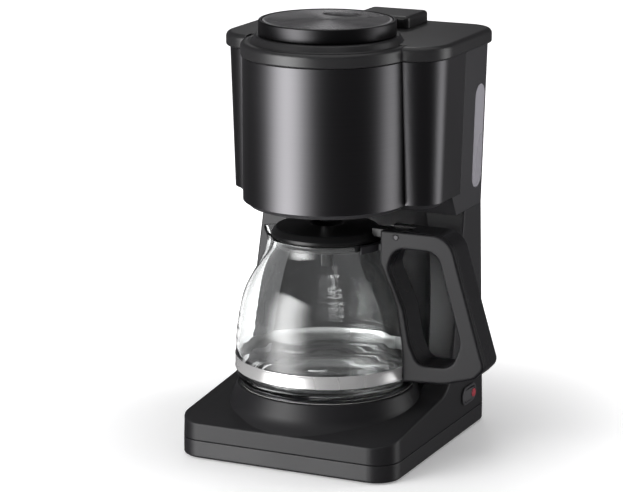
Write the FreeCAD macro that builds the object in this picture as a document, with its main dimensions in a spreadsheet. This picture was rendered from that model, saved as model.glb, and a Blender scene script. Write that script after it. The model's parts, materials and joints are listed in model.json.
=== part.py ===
"""Drip coffee maker: base with hotplate, column with water tank, head with brew basket,
hinged lid, glass carafe.  Millimetres, +X right, +Y back, +Z up, origin on the standing
plane under the middle of the base."""
import FreeCAD, Part
import math
import os

import Sketcher

doc = FreeCAD.newDocument("DripCoffeeMaker")
Vector = FreeCAD.Vector
Placement = FreeCAD.Placement
Rotation = FreeCAD.Rotation

# ---------------------------------------------------------------- driving dimensions

DIMENSIONS = {
    # base
    "BaseWidth": 165.0,
    "BaseDepth": 184.6,
    "BaseCorner": 18.0,
    "FootGap": 1.2,
    "FootRadius": 7.5,
    "FootSide": 62.0,
    "FootAlong": 70.0,
    "PanTop": 13.7,
    "WallThick": 2.4,
    "PanWall": 2.0,
    "ScrewSide": 72.0,
    "ScrewAlong": 81.5,
    "DeckKneeAlong": 76.0,
    "DeckKneeTall": 30.2,
    "DeckRootAlong": 16.5,
    "DeckRootTall": 39.4,
    "RecessHalf": 63.0,
    "RecessBack": 57.0,
    "RecessFloor": 40.5,
    "RecessCorner": 42.0,
    "SeatTop": 46.5,
    "SeatRadius": 63.6,
    "SeatFoot": 75.6,
    # column and head
    "BrewAlong": -16.0,
    "ColumnTop": 164.5,
    "ColumnFoot": 46.6,
    "ColumnHalf": 79.0,
    "ColumnScrewSide": 71.0,
    "ColumnScrewAlong": 52.0,
    "WingTopAlong": 46.5,
    "HeadHalf": 82.5,
    "HeadTop": 280.8,
    "NeckTop": 286.4,
    "RearAlong": 92.3,
    "LobeFrontLow": 15.0,
    "LobeFrontHigh": 21.5,
    "LobeRadiusLow": 19.0,
    "LobeRadiusHigh": 26.0,
    "HeadFloor": 176.0,
    "ChinTop": 179.35,
    "ChinTuck": 4.5,
    "DrumRadius": 59.1,
    "SkinThick": 0.6,
    "SkinLow": 179.5,
    "SkinHigh": 280.6,
    "SkinEnd": 36.0,
    "WindowAlong": 67.0,
    "WindowWide": 17.5,
    "WindowLow": 178.0,
    "WindowHigh": 253.0,
    # lid
    "LidLow": 287.2,
    "LidLip": 281.2,
    "LidHigh": 291.4,
    "LedgeHigh": 290.8,
    "LidReach": 3.0,
    "CapRadius": 48.0,
    "CapLow": 295.5,
    "CapHigh": 306.0,
    "HingeAlong": 93.5,
    "HingeTall": 287.8,
    "HingePin": 1.5,
    "HingeBarrel": 3.2,
    # water parts
    "PlateTop": 48.0,
    "DeckLow": 268.0,
    "DeckHigh": 270.4,
    "RiserSide": 69.0,
    "RiserAlong": 74.0,
    # brew parts
    "BasketBottom": 170.0,
    "BasketSeat": 184.0,
    # switch and cord gland
    "SwitchAlong": 50.0,
    "SwitchTall": 28.0,
    "GlandSide": 45.0,
    "GlandTall": 28.0,
    "GlandBore": 3.6,
    # carafe
    "GlassBottom": 48.3,
    "GlassTop": 153.0,
    "GlassWall": 2.2,
    "BandLow": 58.0,
    "BandHigh": 67.5,
    "BandRadius": 65.2,
    "HandleNear": 14.0,
    "HandleThick": 28.0,
    "HandleTop": 163.5,
}

sheet = doc.addObject("Spreadsheet::Sheet", "Dimensions")
for row, (alias, number) in enumerate(DIMENSIONS.items(), start=1):
    sheet.set(f"A{row}", alias)
    sheet.set(f"B{row}", str(number))
    sheet.setAlias(f"B{row}", alias)
doc.recompute()


class Size:
    """A length that carries its value and the spreadsheet formula behind it."""

    def __init__(self, value, formula):
        self.value = value
        self.formula = formula

    def __add__(self, other):
        other = as_size(other)
        return Size(self.value + other.value, f"({self.formula} + {other.formula})")

    def __sub__(self, other):
        other = as_size(other)
        return Size(self.value - other.value, f"({self.formula} - {other.formula})")

    def __mul__(self, factor):
        return Size(self.value * factor, f"({self.formula} * {factor})")

    def __neg__(self):
        return self * -1.0

    __radd__ = __add__
    __rmul__ = __mul__

    def __rsub__(self, other):
        return as_size(other) - self


def as_size(amount):
    if isinstance(amount, Size):
        return amount
    number = float(amount)
    return Size(number, f"({number})")


def dim(alias):
    return Size(DIMENSIONS[alias], f"Dimensions.{alias}")


def bind(thing, **sizes):
    """Bind properties of a document object to the spreadsheet."""
    for name, amount in sizes.items():
        amount = as_size(amount)
        setattr(thing, name, amount.value)
        thing.setExpression(name, amount.formula)


def move(thing, x=0, y=0, z=0, turn=None):
    """Place a document object, with its position bound to the spreadsheet."""
    spot = [as_size(x), as_size(y), as_size(z)]
    turn = turn or Rotation()
    thing.Placement = Placement(Vector(*[s.value for s in spot]), turn)
    for axis, amount in zip("xyz", spot):
        thing.setExpression(f".Placement.Base.{axis}", amount.formula)
    return thing


# ---------------------------------------------------------------- sketching

FLAT = Rotation()
FRONT = Rotation(Vector(1, 0, 0), 90)
SIDE = Rotation(Vector(1, 1, 1), 120)
ROLES = {"flat": "XY_Plane", "front": "XZ_Plane", "side": "YZ_Plane"}


def pin_point(sketch, geometry, end, x, y):
    """Fix one point of a sketch at x, y from the sketch's origin."""
    for kind, amount in (("DistanceX", x), ("DistanceY", y)):
        number = sketch.addConstraint(
            Sketcher.Constraint(kind, -1, 1, geometry, end, amount.value))
        sketch.setExpression(f"Constraints[{number}]", amount.formula)


def draw_outline(sketch, corners):
    """Closed outline through corners (x, y) or (x, y, radius), which rounds the corner."""
    spots = [(as_size(c[0]), as_size(c[1]), as_size(c[2]) if len(c) > 2 else None) for c in corners]
    points = [Vector(x.value, y.value, 0) for x, y, radius in spots]
    count = len(points)
    enter, leave, centres = [], [], []
    for i, (x, y, radius) in enumerate(spots):
        before = (points[i] - points[i - 1]).normalize()
        after = (points[(i + 1) % count] - points[i]).normalize()
        turn = before.x * after.y - before.y * after.x
        reach = 0.0
        if radius:
            reach = radius.value * math.tan(before.getAngle(after) / 2)
        enter.append(points[i] - before * reach)
        leave.append(points[i] + after * reach)
        normal = Vector(-before.y, before.x, 0) * math.copysign(1, turn)
        centres.append((enter[-1] + normal * radius.value, turn > 0) if radius else None)
    lines = []
    for i in range(count):
        edge = Part.LineSegment(leave[i - 1], enter[i])
        lines.append(sketch.addGeometry(edge, False))
    for i, (x, y, radius) in enumerate(spots):
        arriving = lines[i]
        leaving = lines[(i + 1) % count]
        if not radius:
            sketch.addConstraint(Sketcher.Constraint("Coincident", arriving, 2, leaving, 1))
            pin_point(sketch, leaving, 1, x, y)
            continue
        centre, left = centres[i]
        first, last = (enter[i], leave[i]) if left else (leave[i], enter[i])
        angles = [math.atan2(p.y - centre.y, p.x - centre.x) for p in (first, last)]
        circle = Part.Circle(centre, Vector(0, 0, 1), radius.value)
        arc = sketch.addGeometry(Part.ArcOfCircle(circle, angles[0], angles[1]), False)
        ends = (1, 2) if left else (2, 1)
        sketch.addConstraint(Sketcher.Constraint("Tangent", arriving, 2, arc, ends[0]))
        sketch.addConstraint(Sketcher.Constraint("Tangent", arc, ends[1], leaving, 1))
        number = sketch.addConstraint(Sketcher.Constraint("Radius", arc, radius.value))
        sketch.setExpression(f"Constraints[{number}]", radius.formula)
        corner = sketch.addGeometry(Part.Point(points[i]), True)
        sketch.addConstraint(Sketcher.Constraint("PointOnObject", corner, 1, arriving))
        sketch.addConstraint(Sketcher.Constraint("PointOnObject", corner, 1, leaving))
        pin_point(sketch, corner, 1, x, y)


def draw_circle(sketch, x, y, radius):
    x, y, radius = as_size(x), as_size(y), as_size(radius)
    circle = Part.Circle(Vector(x.value, y.value, 0), Vector(0, 0, 1), radius.value)
    number = sketch.addGeometry(circle, False)
    pin_point(sketch, number, 3, x, y)
    limit = sketch.addConstraint(Sketcher.Constraint("Radius", number, radius.value))
    sketch.setExpression(f"Constraints[{limit}]", radius.formula)


def rectangle(left, right, front, back, front_radius=None, back_radius=None):
    """Corners of a rectangle whose front and back corners may be rounded."""
    front_end = [front_radius] if front_radius else []
    back_end = [back_radius] if back_radius else []
    return [(left, front, *front_end), (right, front, *front_end),
            (right, back, *back_end), (left, back, *back_end)]


# ---------------------------------------------------------------- solids outside bodies

def loose_sketch(name, corners, turn, x=0, y=0, z=0):
    sketch = doc.addObject("Sketcher::SketchObject", name)
    draw_outline(sketch, corners)
    move(sketch, x, y, z, turn)
    return sketch


def slab(name, corners, low, high):
    """Outline in plan, standing from low to high."""
    low, high = as_size(low), as_size(high)
    solid = doc.addObject("Part::Extrusion", name)
    solid.Base = loose_sketch(name + "Outline", corners, FLAT, z=low)
    solid.DirMode = "Normal"
    solid.Solid = True
    bind(solid, LengthFwd=high - low)
    return solid


def across(name, corners, left, right):
    """Outline (y, z) seen from the side, running from left to right along X."""
    left, right = as_size(left), as_size(right)
    solid = doc.addObject("Part::Extrusion", name)
    solid.Base = loose_sketch(name + "Outline", corners, SIDE, x=left)
    solid.DirMode = "Normal"
    solid.Solid = True
    bind(solid, LengthFwd=right - left)
    return solid


def along(name, corners, near, far):
    """Outline (x, z) seen from the front, running from near to far along Y."""
    near, far = as_size(near), as_size(far)
    solid = doc.addObject("Part::Extrusion", name)
    solid.Base = loose_sketch(name + "Outline", corners, FRONT, y=far)
    solid.DirMode = "Normal"
    solid.Solid = True
    bind(solid, LengthFwd=far - near)
    return solid


def loft(name, low_corners, low, high_corners, high):
    solid = doc.addObject("Part::Loft", name)
    solid.Sections = [loose_sketch(name + "Low", low_corners, FLAT, z=low),
                      loose_sketch(name + "High", high_corners, FLAT, z=high)]
    solid.Solid = True
    solid.Ruled = True
    return solid


def cylinder(name, radius, low, high, x=0, y=0):
    low, high = as_size(low), as_size(high)
    solid = doc.addObject("Part::Cylinder", name)
    bind(solid, Radius=radius, Height=high - low)
    return move(solid, x, y, low)


def rod(name, radius, start, end, at, axis):
    """Cylinder along X or Y from start to end, through the other two coordinates."""
    start, end = as_size(start), as_size(end)
    solid = doc.addObject("Part::Cylinder", name)
    bind(solid, Radius=radius, Height=end - start)
    if axis == "x":
        return move(solid, start, at[0], at[1], Rotation(Vector(0, 1, 0), 90))
    return move(solid, at[0], start, at[1], Rotation(Vector(1, 0, 0), -90))


def cone(name, low_radius, high_radius, low, high, x=0, y=0):
    low, high = as_size(low), as_size(high)
    solid = doc.addObject("Part::Cone", name)
    bind(solid, Radius1=low_radius, Radius2=high_radius, Height=high - low)
    return move(solid, x, y, low)


def block(name, left, right, front, back, low, high):
    left, right, front, back = as_size(left), as_size(right), as_size(front), as_size(back)
    low, high = as_size(low), as_size(high)
    solid = doc.addObject("Part::Box", name)
    bind(solid, Length=right - left, Width=back - front, Height=high - low)
    return move(solid, left, front, low)


def turned(name, corners, x=0, y=0):
    """Outline (radius, z) turned about the vertical line through x, y."""
    solid = doc.addObject("Part::Revolution", name)
    sketch = loose_sketch(name + "Outline", corners, FRONT)
    solid.Source = sketch
    solid.Axis = Vector(0, 0, 1)
    solid.Base = Vector(0, 0, 0)
    solid.Angle = 360
    solid.Solid = True
    return move(solid, x, y, 0)


def joined(name, *solids):
    whole = doc.addObject("Part::MultiFuse", name)
    whole.Shapes = list(solids)
    return whole


def cut(name, base, *tools):
    result = doc.addObject("Part::Cut", name)
    result.Base = base
    result.Tool = tools[0] if len(tools) == 1 else joined(name + "Tools", *tools)
    return result


def overlap(name, first, second):
    result = doc.addObject("Part::Common", name)
    result.Base = first
    result.Tool = second
    return result


def group(name, solids):
    """Several separate solids kept together as one piece."""
    result = doc.addObject("Part::Compound", name)
    result.Links = list(solids)
    return result


def matching_edges(shape, test):
    """Numbers of the edges whose bounding box passes the test."""
    return [i for i, edge in enumerate(shape.Edges, start=1) if test(edge.BoundBox)]


def softened(name, base, rounds):
    """Round the edges that each test picks, with that test's radius."""
    doc.recompute()
    result = doc.addObject("Part::Fillet", name)
    result.Base = base
    edges = []
    for radius, test in rounds:
        chosen = matching_edges(base.Shape, test)
        if not chosen:
            raise RuntimeError(f"{name}: no edge to round")
        edges += [(number, radius, radius) for number in chosen]
    result.Edges = edges
    return result


# ---------------------------------------------------------------- PartDesign bodies

def new_body(name):
    return doc.addObject("PartDesign::Body", name)


def body_sketch(body, name, plane="flat", height=0):
    """Sketch on one of the body's own origin planes, raised by height."""
    sketch = body.newObject("Sketcher::SketchObject", name)
    for feature in body.Origin.OriginFeatures:
        if feature.Role == ROLES[plane]:
            sketch.AttachmentSupport = [(feature, "")]
    sketch.MapMode = "FlatFace"
    height = as_size(height)
    sketch.AttachmentOffset = Placement(Vector(0, 0, height.value), Rotation())
    sketch.setExpression(".AttachmentOffset.Base.z", height.formula)
    return sketch


def add(body, name, sketch, length):
    pad = body.newObject("PartDesign::Pad", name)
    pad.Profile = sketch
    bind(pad, Length=length)
    return pad


def remove(body, name, sketch, length):
    """Pocket upward from the sketch; it must take material away."""
    doc.recompute()
    before = body.Shape.Volume
    pocket = body.newObject("PartDesign::Pocket", name)
    pocket.Profile = sketch
    pocket.Reversed = True
    bind(pocket, Length=length)
    doc.recompute()
    if body.Shape.Volume > before - 1e-3:
        raise RuntimeError(f"{name} removes nothing")
    return pocket


def revolve(body, name, sketch):
    solid = body.newObject("PartDesign::Revolution", name)
    solid.Profile = sketch
    solid.ReferenceAxis = (sketch, ["V_Axis"])
    solid.Angle = 360.0
    return solid


def round_edges(body, name, radius, test):
    doc.recompute()
    tip = body.Tip
    chosen = [f"Edge{number}" for number in matching_edges(tip.Shape, test)]
    if not chosen:
        raise RuntimeError(f"{name}: no edge to round")
    fillet = body.newObject("PartDesign::Fillet", name)
    fillet.Base = (tip, chosen)
    bind(fillet, Radius=radius)
    return fillet


def turned_body(name, corners, x=0, y=0):
    """Body made by turning an outline (radius, z) about its vertical axis."""
    body = new_body(name)
    sketch = body_sketch(body, name + "Outline", "front")
    draw_outline(sketch, corners)
    revolve(body, name + "Turn", sketch)
    move(body, x, y, 0)
    return body


PIECES = []


def piece(label, thing):
    """Give a finished sub-part the label that names its file."""
    thing.Label = label
    PIECES.append(thing)
    return thing


# ---------------------------------------------------------------- shared shapes

width = dim("BaseWidth")
depth = dim("BaseDepth")
brew = dim("BrewAlong")
wall = dim("WallThick")
pan_top = dim("PanTop")
column_top = dim("ColumnTop")
head_top = dim("HeadTop")
neck_top = dim("NeckTop")
rear = dim("RearAlong")
lid_low = dim("LidLow")
lid_high = dim("LidHigh")


def base_plan(inset):
    half = width * 0.5 - inset
    return rectangle(-half, half, -(depth * 0.5) + inset, depth * 0.5 - inset,
                     dim("BaseCorner") - inset, dim("BaseCorner") - inset)


def column_plan(inset):
    half = dim("ColumnHalf") - inset
    draft = width * 0.5 - dim("ColumnHalf")
    return rectangle(-half, half, -(depth * 0.5) + draft + inset, depth * 0.5 - inset,
                     dim("BaseCorner") - inset, dim("BaseCorner") - inset)


def head_plan(inset, high):
    """Rounded body behind the drum, at the column's top or at the head's top."""
    half = (dim("HeadHalf") if high else dim("ColumnHalf")) - inset
    front = dim("LobeFrontHigh" if high else "LobeFrontLow")
    radius = dim("LobeRadiusHigh" if high else "LobeRadiusLow")
    return rectangle(-half, half, -front + inset, rear - inset,
                     radius - inset, dim("BaseCorner") - inset)


def on_deck_edge(box):
    """True for the outer edge of the deck, from one wing round the front to the other."""
    front = box.YMax < 0 and box.ZMin > 20 and box.ZMax < 45
    return front and (box.XMax < -60 or box.XMin > 60 or box.YMax < -90)


def column_solid(name, inset):
    """Base deck and column as one block, everything drawn in by the inset."""
    low = pan_top if inset == 0 else pan_top - 1
    high = column_top if inset == 0 else column_top + 1
    tower = loft(name + "Tower", base_plan(inset), low, column_plan(inset), high)
    reach = depth * 0.5 + 5
    lean = dim("WingTopAlong") - dim("DeckRootAlong")
    root_along = dim("DeckRootAlong") + inset
    profile = across(name + "Profile", [
        (-reach, 5),
        (reach, 5),
        (reach, high + 5),
        (root_along + lean + 1.2, high + 5),
        (root_along, dim("DeckRootTall") - inset, 24.0),
        (-dim("DeckKneeAlong"), dim("DeckKneeTall") - inset, 60.0),
        (-reach, dim("DeckKneeTall") - inset - 4.8),
    ], -90, 90)
    trimmed = overlap(name + "Trimmed", tower, profile)
    if inset == 0:
        trimmed = softened(name + "Eased", trimmed, [(1.4, on_deck_edge)])
    recess = slab(name + "Recess", rectangle(
        -(dim("RecessHalf") + inset), dim("RecessHalf") + inset, -130, dim("RecessBack") + inset,
        None, dim("RecessCorner") + inset), dim("RecessFloor") - inset, high + 5)
    foot = dim("SeatFoot") - inset
    seat = turned(name + "Seat", [
        (0, 22), (foot, 22), (foot, 26.6 - inset), (69.0 - inset, 32.4 - inset, 16.0),
        (dim("SeatRadius") - inset, dim("SeatTop") - inset, 0.8), (0, dim("SeatTop") - inset)], 0, brew)
    return joined(name, cut(name + "Hollowed", trimmed, recess), seat)


def drum_and_body(name, inset, low, high):
    """Head as one block: rounded body and round drum, drawn in by the inset."""
    body = loft(name + "Body", head_plan(inset, False), column_top, head_plan(inset, True), head_top)
    drum = cylinder(name + "Drum", dim("DrumRadius") - inset, low, high, 0, brew)
    keep = block(name + "Keep", -100, 100, -100, 110, low, high)
    return joined(name, overlap(name + "Part", body, keep), drum)


def wrap(name, outer, inner, low, high, end):
    """Band round the head's front between two insets, up to a line across the sides."""
    outside = drum_and_body(name + "Outside", outer, low, high)
    inside = drum_and_body(name + "Inside", inner, low - 1, high + 1)
    ring = cut(name + "Ring", outside, inside)
    front = block(name + "Front", -100, 100, -100, end, low - 2, high + 2)
    return overlap(name, ring, front)


# ---------------------------------------------------------------- base

def screw_spots():
    return [(dim("ScrewSide") * side, dim("ScrewAlong") * end)
            for side in (-1, 1) for end in (-1, 1)]


def column_screw_spots():
    return [(dim("ColumnScrewSide") * side, dim("ColumnScrewAlong")) for side in (-1, 1)]


FOOT_ENDS = [(-1, -1), (-1, 1), (1, -1), (1, 1), (0, 0)]


def make_base_pan():
    gap = dim("FootGap")
    body = new_body("BasePan")
    plan = body_sketch(body, "PanOutline", height=gap)
    draw_outline(plan, base_plan(as_size(0)))
    add(body, "PanBlock", plan, pan_top - gap)
    hollow = body_sketch(body, "PanHollowOutline", height=gap + dim("PanWall"))
    draw_outline(hollow, base_plan(wall))
    remove(body, "PanHollow", hollow, 20)
    round_edges(body, "PanFootRound", 1.6,
                lambda box: box.ZMax < 1.3 and (box.XLength > 10 or box.YLength > 10))
    bosses = body_sketch(body, "BossOutline", height=gap + 1)
    for x, y in screw_spots():
        draw_circle(bosses, x, y, 5.6)
    add(body, "Bosses", bosses, 4.2)
    heads = body_sketch(body, "HeadRecessOutline", height=gap - 1)
    for x, y in screw_spots():
        draw_circle(heads, x, y, 3.9)
    remove(body, "HeadRecess", heads, 4.2)
    holes = body_sketch(body, "ScrewHoleOutline", height=gap)
    for x, y in screw_spots():
        draw_circle(holes, x, y, 1.9)
    remove(body, "ScrewHoles", holes, 8)
    studs = body_sketch(body, "FootHoleOutline", height=gap - 1)
    for side, end in FOOT_ENDS:
        draw_circle(studs, dim("FootSide") * side, dim("FootAlong") * end, 2.6)
    remove(body, "FootHoles", studs, 5)
    piece("base_pan", body)


def make_rubber_feet():
    feet = []
    for number, (side, end) in enumerate(FOOT_ENDS):
        radius = dim("FootRadius")
        foot = turned(f"Foot{number}", [
            (0, 0), (radius, 0, 0.5), (radius, dim("FootGap") - 0.02), (2.5, dim("FootGap") - 0.02),
            (2.5, 4.2), (3.4, 4.2), (2.0, 6.6), (0, 6.6)],
            dim("FootSide") * side, dim("FootAlong") * end)
        feet.append(foot)
    piece("rubber_feet", group("RubberFeet", feet))


def make_pan_screws():
    screws = []
    for number, (x, y) in enumerate(screw_spots()):
        low = dim("FootGap") + 0.9
        head = dim("FootGap") + 3.15
        screw = turned(f"PanScrew{number}", [
            (0, low), (3.3, low, 0.5), (3.3, head), (1.5, head), (1.5, head + 11), (0, head + 12.5)],
            x, y)
        slot = block(f"PanScrewSlot{number}", x - 2.4, x + 2.4, y - 0.45, y + 0.45, low - 1, low + 1.1)
        screws.append(cut(f"PanScrewCut{number}", screw, slot))
    piece("pan_screws", group("PanScrews", screws))


def switch_oval(name, long_half, tall_half, left, right):
    """Oval along Y on the base's right side, running along X."""
    along_y = dim("SwitchAlong")
    tall = dim("SwitchTall")
    corner = tall_half * 0.98
    return across(name, [
        (along_y - long_half, tall - tall_half, corner), (along_y + long_half, tall - tall_half, corner),
        (along_y + long_half, tall + tall_half, corner), (along_y - long_half, tall + tall_half, corner),
    ], left, right)


def make_base_housing():
    """Base and column: one hollow form divided at a seam, the column clipped on to the base."""
    outer = column_solid("BaseOuter", 0)
    inner = column_solid("BaseInner", wall.value)
    shell = cut("BaseShell", outer, inner)
    posts = []
    holes = []
    for number, (x, y) in enumerate(screw_spots()):
        posts.append(cylinder(f"PanPost{number}", 4.2, pan_top - 7.2, 27.0, x, y))
        holes.append(cylinder(f"PanPilot{number}", 1.62, pan_top - 8, pan_top + 8, x, y))
        if number in (1, 3):
            side = math.copysign(1, x.value)
            edges = sorted((72 * side, 79.6 * side))
            posts.append(block(f"PostRib{number}", edges[0], edges[1], y - 1.2, y + 1.2, 18, 27))
    for number, (x, y) in enumerate(column_screw_spots()):
        posts.append(cylinder(f"ColumnPost{number}", 5.9, 146, column_top, x, y))
        holes.append(cylinder(f"ColumnPilot{number}", 1.62, 150, column_top + 1, x, y))
    plate_hole = cylinder("PlateHole", 58.4, 38, 60, 0, brew)
    gland_hole = rod("GlandHole", 7.1, 80, 100, (-dim("GlandSide"), dim("GlandTall")), "y")
    switch_hole = switch_oval("SwitchHole", 12.3, 5.7, 76, 90)
    reveal = cut("Reveal", slab("RevealOut", base_plan(-2), pan_top - 1, pan_top + 0.55),
                 slab("RevealIn", base_plan(0.6), pan_top - 2, pan_top + 2))
    whole = joined("BaseWithPosts", shell, *posts)
    housing = cut("BothHousings", whole, plate_hole, gland_hole, switch_hole, reveal, *holes)
    seam = dim("ColumnFoot")
    lower = block("BaseShare", -100, 100, -110, 110, 0, seam - 0.03)
    upper = block("ColumnShare", -100, 100, -110, 110, seam, 170)
    piece("base_housing", overlap("BaseHousing", housing, lower))
    piece("column_housing", overlap("ColumnHousing", housing, upper))


def make_cord_gland():
    bore = dim("GlandBore")
    face = depth * 0.5
    flange = rod("GlandFlange", 9.5, face + 0.1, face + 2.1, (-dim("GlandSide"), dim("GlandTall")), "y")
    sleeve = rod("GlandSleeve", 7.0, face - 12, face + 0.5, (-dim("GlandSide"), dim("GlandTall")), "y")
    hole = rod("GlandBoreCut", bore, face - 20, face + 10, (-dim("GlandSide"), dim("GlandTall")), "y")
    gland = cut("GlandTurned", joined("GlandSolid", flange, sleeve), hole)
    eased = softened("Gland", gland, [(0.8, lambda box: box.YMin > face.value + 2.0 and box.XLength > 15)])
    piece("cord_gland", eased)


def make_switch():
    half = width * 0.5
    rim = switch_oval("BezelRim", 13.0, 6.5, half - 0.1, half + 0.9)
    sleeve = switch_oval("BezelSleeve", 12.1, 5.5, half - 14, half)
    pocket = switch_oval("BezelPocket", 11.1, 4.6, half - 12, half + 5)
    bezel = cut("Bezel", joined("BezelSolid", rim, sleeve), pocket)
    lean = Rotation(Vector(0, 0, 1), -5)
    pivot = Vector(half.value - 5, dim("SwitchAlong").value, dim("SwitchTall").value)
    paddle = switch_oval("PaddleOval", 10.3, 4.25, half - 7, half + 1.4)
    trunnion = cylinder("Trunnion", 1.1, dim("SwitchTall") - 5.2, dim("SwitchTall") + 5.2,
                        half - 5, dim("SwitchAlong"))
    bearing = cylinder("BezelBearing", 1.18, dim("SwitchTall") - 8, dim("SwitchTall") + 8,
                       half - 5, dim("SwitchAlong"))
    piece("switch_bezel", cut("SwitchBezel", bezel, bearing))
    well = rod("PaddleWell", 3.2, half + 0.6, half + 5, (dim("SwitchAlong") + 6.0, dim("SwitchTall")), "x")
    paddle = cut("Paddle", joined("PaddleSolid", paddle, trunnion), well)
    paddle.Placement = Placement(Vector(), lean, pivot)
    piece("switch_rocker", paddle)
    marker = rod("Marker", 3.1, half + 0.65, half + 1.7,
                 (dim("SwitchAlong") + 6.0, dim("SwitchTall")), "x")
    holder = group("MarkerHolder", [marker])
    holder.Placement = Placement(Vector(), lean, pivot)
    piece("switch_marker", holder)


def make_hotplate():
    top = dim("PlateTop")
    piece("hotplate", turned_body("Hotplate", [
        (0, top - 1.2), (56.2, top - 1.2), (56.2, top - 8), (57.6, top - 8), (57.6, top - 1.2),
        (61.6, top - 1.2), (61.6, top, 0.5), (58.5, top, 1.0), (57.7, top - 0.5, 1.0), (0, top - 0.5)],
        0, brew))
    piece("hotplate_seal", turned_body("HotplateSeal", [
        (57.8, dim("SeatTop") - 2), (58.3, dim("SeatTop") - 2), (58.3, dim("SeatTop") + 0.02),
        (61.5, dim("SeatTop") + 0.02), (61.5, top - 1.22), (57.8, top - 1.22)], 0, brew))


def make_heater():
    """Horseshoe casting: heater rod and water tube side by side under the hotplate."""
    top = dim("PlateTop") - 1.25
    solids = []
    for name, radius, size, height in (("HeaterRod", 36, 4.6, 4.7), ("HeaterTube", 45, 4.0, 5.5)):
        ring = doc.addObject("Part::Torus", name)
        bind(ring, Radius1=radius, Radius2=size)
        move(ring, 0, brew, top - height)
        solids.append(ring)
    web = turned("HeaterWeb", [(34, top - 3.4), (47, top - 3.4), (47, top), (34, top)], 0, brew)
    mouth = block("HeaterOpening", -60, 60, brew + 20, brew + 60, 20, 60)
    casting = joined("HeaterCasting", web, *solids)
    hole = doc.addObject("Part::Torus", "HeaterWaterway")
    bind(hole, Radius1=45, Radius2=2.8)
    move(hole, 0, brew, top - 5.5)
    piece("heating_element", cut("HeatingElement", casting, mouth, hole))


def make_heater_parts():
    low = dim("PlateTop") - 11
    strap = block("Strap", -52, 52, brew - 7, brew + 7, low - 1.4, low)
    hook_left = block("StrapLeft", -53.4, -52, brew - 7, brew + 7, low - 1.4, low + 5)
    hook_right = block("StrapRight", 52, 53.4, brew - 7, brew + 7, low - 1.4, low + 5)
    hole = cylinder("StrapHole", 2.2, 0, 60, 0, brew)
    piece("heater_bracket", cut("HeaterBracket", joined("StrapBent", strap, hook_left, hook_right), hole))
    top = dim("PlateTop") - 1.25
    piece("thermostat", turned_body("Thermostat", [
        (0, top - 9), (8, top - 9, 1), (8, top - 3), (11, top - 3), (11, top - 1.6), (9, top - 1.6),
        (9, top - 0.05), (0, top - 0.05)], 18, brew))
    fuses = []
    for number, side in enumerate((-1, 1)):
        fuse = rod(f"Fuse{number}", 2.0, brew - 62, brew - 50, (9 * side, top - 14), "y")
        fuses.append(fuse)
    piece("thermal_fuses", group("ThermalFuses", fuses))


def pipe(name, radius, bore, points, bend):
    """Tube along straight runs joined by round bends."""
    spots = [Vector(*[as_size(c).value for c in point]) for point in points]
    edges = []
    start = spots[0]
    for before, corner, after in zip(spots, spots[1:], spots[2:]):
        inward = (corner - before).normalize()
        outward = (after - corner).normalize()
        reach = bend * math.tan(inward.getAngle(outward) / 2)
        first = corner - inward * reach
        last = corner + outward * reach
        bisector = (outward - inward).normalize()
        middle = corner + bisector * (bend / math.cos(inward.getAngle(outward) / 2) - bend)
        edges.append(Part.LineSegment(start, first).toShape())
        edges.append(Part.Arc(first, middle, last).toShape())
        start = last
    edges.append(Part.LineSegment(start, spots[-1]).toShape())
    path = Part.Wire(edges)
    direction = (spots[1] - spots[0]).normalize()
    solids = []
    for size in (radius, bore):
        ring = Part.Wire([Part.Circle(spots[0], direction, as_size(size).value).toShape()])
        solids.append(path.makePipeShell([ring], True, False))
    tube = doc.addObject("Part::Feature", name)
    tube.Shape = solids[0].cut(solids[1])
    return tube


def make_water_path():
    side = dim("RiserSide")
    along_y = dim("RiserAlong")
    top = dim("PlateTop") - 6.75
    end = brew + 20.2
    inlet = (40.4, end, top)
    outlet = (-40.4, end, top)
    low = 27
    piece("cold_hose", pipe("ColdHose", 5.0, 3.2, [
        inlet, (40.4, 11.4, top), (40.4, 11.4, low), (41.5, 74, low), (41.5, 74, 98.5)], 7))
    piece("hot_hose", pipe("HotHose", 5.0, 3.2, [
        outlet, (-40.4, 11.4, top), (-40.4, 11.4, low), (-side, along_y, low), (-side, along_y, 78)], 7))
    riser = turned_body("Riser", [
        (3.2, 78.1), (4.9, 78.1), (4.9, 260), (3.9, 264), (3.9, 276.4), (2.4, 276.4), (2.4, 262), (3.2, 258)],
        -side, along_y)
    piece("riser_tube", riser)
    piece("check_valve", turned_body("CheckValve", [
        (1.6, 98.6), (4.6, 98.6), (4.6, 99.2), (6.4, 99.2, 0.6), (6.4, 103.2, 0.6), (4.6, 103.2),
        (4.6, 103.9), (1.6, 103.9)], 41.5, 74))


def make_tank():
    low = 104.0
    shoulder = 170.0
    top = dim("DeckHigh")
    lower_outer = slab("TankLower", rectangle(-56, 56, 61, 86.4, 6, 6), low, shoulder + 1)
    upper_outer = slab("TankUpper", rectangle(-58, 76, 42, 87, 8, 14), shoulder, top + 1)
    rim = slab("TankRim", rectangle(-60.5, 77.6, 39.8, 88.2, 9, 14.5), top + 0.05, top + 1.8)
    lower_inner = slab("TankLowerHollow", rectangle(-54, 54, 63, 84.4, 4, 4), low + 2, shoulder + 4)
    upper_inner = slab("TankUpperHollow", rectangle(-56, 74, 44, 85, 6, 12), shoulder + 2, top + 5)
    outlet = cylinder("TankOutlet", 3.0, low - 2, low + 4, 41.5, 74)
    tank = cut("WaterTank", joined("TankSolid", lower_outer, upper_outer, rim),
               lower_inner, upper_inner, outlet)
    piece("water_tank", tank)


# ---------------------------------------------------------------- head

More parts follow.
